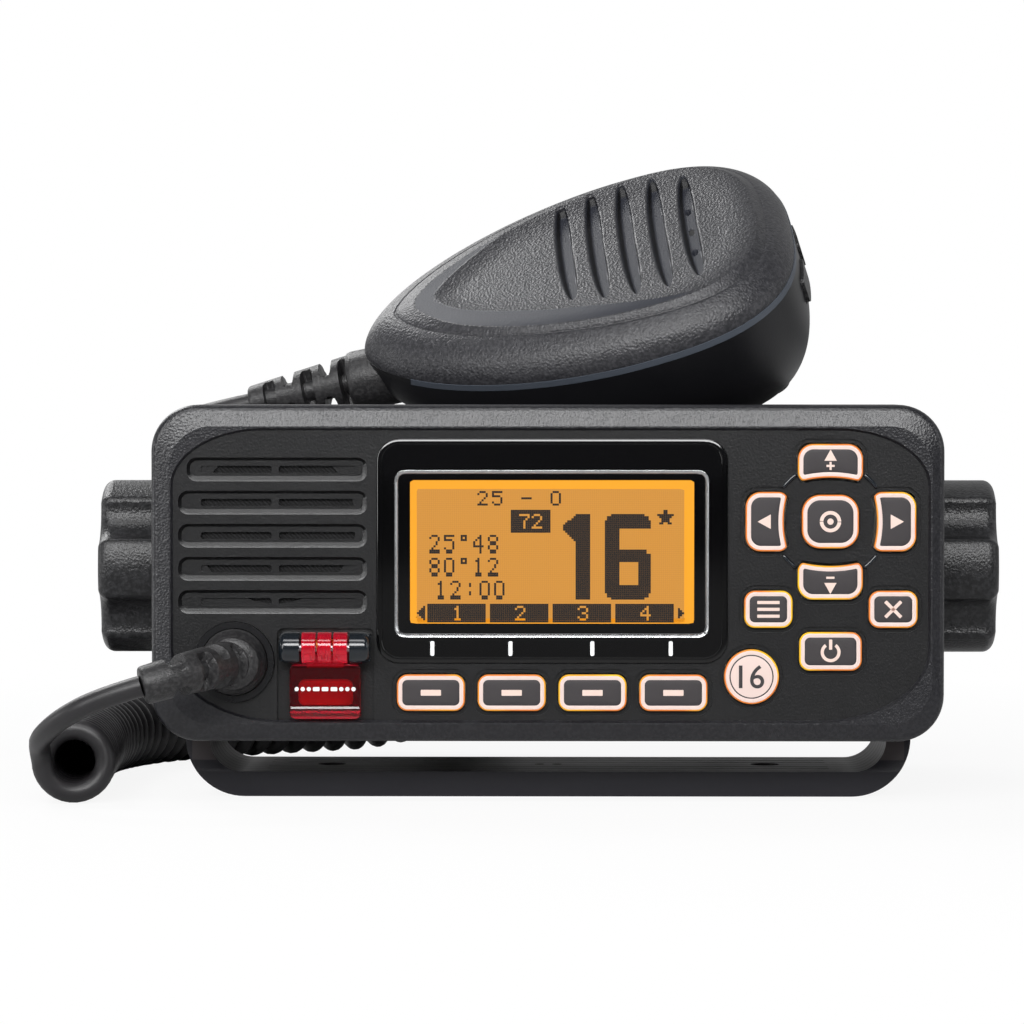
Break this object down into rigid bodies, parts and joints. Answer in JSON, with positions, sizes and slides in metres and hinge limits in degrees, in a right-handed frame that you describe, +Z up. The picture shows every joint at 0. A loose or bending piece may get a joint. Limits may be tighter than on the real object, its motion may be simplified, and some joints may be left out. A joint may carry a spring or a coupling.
{
  "type": "vhf marine radio",
  "caption": "Fixed-mount VHF marine radio on a swivel bracket, with lit display, keypad, distress key under a hinged cover, and a fist microphone on a curly cord.",
  "frame": {"origin": "middle of the bracket's underside, halfway between its two screw holes", "axes": "+X to the user's right, +Y back from the front panel, +Z up out of the bracket's base"},
  "size_m": [0.1951, 0.159, 0.1297],
  "materials": {
    "panel_plastic": "fine textured black plastic",
    "gloss_black": "polished black window",
    "amber_lcd": "lit amber LCD",
    "light_guide": "clear light guide",
    "key_rubber": "translucent rubber with a light rim",
    "silicone": "milky silicone",
    "circuit_board": "green solder mask",
    "speaker_steel": "black painted steel",
    "cone_paper": "treated paper",
    "grille_cloth": "woven cloth",
    "clear_red": "clear red plastic",
    "distress_rubber": "orange-red rubber",
    "gloss_dark": "gloss dark plastic",
    "steel": "plain steel",
    "cord_rubber": "satin black cord jacket",
    "boot_rubber": "satin black moulded rubber",
    "case_plastic": "textured black plastic",
    "seal_rubber": "black seal rubber",
    "black_aluminium": "black anodised die casting",
    "nickel": "nickel plate",
    "white_insulator": "white fluoropolymer",
    "brass": "machined brass",
    "tin_plate": "tinned sheet",
    "bracket_plastic": "moulded black plastic",
    "knob_plastic": "textured black plastic",
    "mic_plastic": "satin textured black plastic",
    "seal_strip": "blue-grey seal",
    "stainless": "stainless steel"
  },
  "bodies": {
    "radio": {"front_panel": "panel_plastic", "display_window": "gloss_black", "lcd_glass": "amber_lcd", "lcd_backlight": "light_guide", "keypad_mat": "silicone", "front_board": "circuit_board", "speaker_cloth": "grille_cloth", "speaker_frame": "speaker_steel", "speaker_cone": "cone_paper", "distress_lugs": "gloss_dark", "distress_pin": "steel", "distress_spring": "brass", "mic_socket": "gloss_dark", "panel_cord_boot": "boot_rubber", "housing": "case_plastic", "panel_gasket": "seal_rubber", "heat_sink": "black_aluminium", "lead_grommets": "seal_rubber", "antenna_connector": "nickel", "antenna_insulator": "white_insulator", "case_screws": "stainless", "main_board": "circuit_board", "rf_shield": "tin_plate", "power_module": "gloss_dark", "pivot_inserts": "brass", "bracket_pads": "seal_rubber", "cord_front_tail": "cord_rubber", "curly_cord": "cord_rubber"},
    "bracket": {"bracket": "bracket_plastic", "washer_left": "stainless", "washer_right": "stainless"},
    "knob_left": {"knob_left": "knob_plastic"},
    "knob_right": {"knob_right": "knob_plastic"},
    "distress_cover": {"distress_cover": "clear_red"},
    "microphone": {"mic_front_shell": "mic_plastic", "mic_back_shell": "mic_plastic", "mic_seal_strip": "seal_strip", "hanger_button": "stainless", "mic_board": "circuit_board", "mic_element": "tin_plate", "mic_screws": "stainless", "mic_cord_boot": "boot_rubber", "cord_mic_tail": "cord_rubber"},
    "ptt_button": {"ptt_button": "boot_rubber"},
    "mic_key_up": {"mic_key_up": "boot_rubber"},
    "mic_key_down": {"mic_key_down": "boot_rubber"},
    "soft_key_1": {"soft_key_1": "key_rubber"},
    "soft_key_2": {"soft_key_2": "key_rubber"},
    "soft_key_3": {"soft_key_3": "key_rubber"},
    "soft_key_4": {"soft_key_4": "key_rubber"},
    "up_key": {"up_key": "key_rubber"},
    "down_key": {"down_key": "key_rubber"},
    "left_key": {"left_key": "key_rubber"},
    "right_key": {"right_key": "key_rubber"},
    "enter_key": {"enter_key": "key_rubber"},
    "menu_key": {"menu_key": "key_rubber"},
    "clear_key": {"clear_key": "key_rubber"},
    "power_key": {"power_key": "key_rubber"},
    "channel_16_key": {"channel_16_key": "key_rubber"},
    "distress_key": {"distress_key": "distress_rubber"}
  },
  "joints": [
    {"name": "bracket_tilt", "type": "hinge", "parent": "radio", "child": "bracket", "pos_m": [0, 0, 0.0458], "axis": [1, 0, 0], "range_deg": [-10, 25]},
    {"name": "knob_left_turn", "type": "hinge", "parent": "radio", "child": "knob_left", "pos_m": [-0.0743, 0, 0.0458], "axis": [-1, 0, 0], "range_deg": [0, 720]},
    {"name": "knob_right_turn", "type": "hinge", "parent": "radio", "child": "knob_right", "pos_m": [0.0743, 0, 0.0458], "axis": [1, 0, 0], "range_deg": [0, 720]},
    {"name": "distress_cover_hinge", "type": "hinge", "parent": "radio", "child": "distress_cover", "pos_m": [-0.0438, -0.04, 0.03125], "axis": [-1, 0, 0], "range_deg": [0, 110], "stiffness_Nm_per_rad": 0.004},
    {"name": "soft_key_1_press", "type": "slide", "parent": "radio", "child": "soft_key_1", "axis": [0, 1, 0], "range_m": [0, 0.0009], "stiffness_N_per_m": 400},
    {"name": "soft_key_2_press", "type": "slide", "parent": "radio", "child": "soft_key_2", "axis": [0, 1, 0], "range_m": [0, 0.0009], "stiffness_N_per_m": 400},
    {"name": "soft_key_3_press", "type": "slide", "parent": "radio", "child": "soft_key_3", "axis": [0, 1, 0], "range_m": [0, 0.0009], "stiffness_N_per_m": 400},
    {"name": "soft_key_4_press", "type": "slide", "parent": "radio", "child": "soft_key_4", "axis": [0, 1, 0], "range_m": [0, 0.0009], "stiffness_N_per_m": 400},
    {"name": "up_key_press", "type": "slide", "parent": "radio", "child": "up_key", "axis": [0, 1, 0], "range_m": [0, 0.0009], "stiffness_N_per_m": 400},
    {"name": "down_key_press", "type": "slide", "parent": "radio", "child": "down_key", "axis": [0, 1, 0], "range_m": [0, 0.0009], "stiffness_N_per_m": 400},
    {"name": "left_key_press", "type": "slide", "parent": "radio", "child": "left_key", "axis": [0, 1, 0], "range_m": [0, 0.0009], "stiffness_N_per_m": 400},
    {"name": "right_key_press", "type": "slide", "parent": "radio", "child": "right_key", "axis": [0, 1, 0], "range_m": [0, 0.0009], "stiffness_N_per_m": 400},
    {"name": "enter_key_press", "type": "slide", "parent": "radio", "child": "enter_key", "axis": [0, 1, 0], "range_m": [0, 0.0009], "stiffness_N_per_m": 400},
    {"name": "menu_key_press", "type": "slide", "parent": "radio", "child": "menu_key", "axis": [0, 1, 0], "range_m": [0, 0.0009], "stiffness_N_per_m": 400},
    {"name": "clear_key_press", "type": "slide", "parent": "radio", "child": "clear_key", "axis": [0, 1, 0], "range_m": [0, 0.0009], "stiffness_N_per_m": 400},
    {"name": "power_key_press", "type": "slide", "parent": "radio", "child": "power_key", "axis": [0, 1, 0], "range_m": [0, 0.0009], "stiffness_N_per_m": 400},
    {"name": "channel_16_key_press", "type": "slide", "parent": "radio", "child": "channel_16_key", "axis": [0, 1, 0], "range_m": [0, 0.0009], "stiffness_N_per_m": 400},
    {"name": "distress_key_press", "type": "slide", "parent": "radio", "child": "distress_key", "axis": [0, 1, 0], "range_m": [0, 0.0009], "stiffness_N_per_m": 400},
    {"name": "microphone_lift", "type": "slide", "parent": "radio", "child": "microphone", "axis": [0, 0, 1], "range_m": [0, 0.05]},
    {"name": "ptt_press", "type": "slide", "parent": "microphone", "child": "ptt_button", "axis": [0.0708, -0.8387, -0.5399], "range_m": [0, 0.0018], "stiffness_N_per_m": 800},
    {"name": "mic_key_up_press", "type": "slide", "parent": "microphone", "child": "mic_key_up", "axis": [-0.9567, 0.0962, -0.2748], "range_m": [0, 0.0008], "stiffness_N_per_m": 400},
    {"name": "mic_key_down_press", "type": "slide", "parent": "microphone", "child": "mic_key_down", "axis": [-0.9567, 0.0962, -0.2748], "range_m": [0, 0.0008], "stiffness_N_per_m": 400}
  ]
}
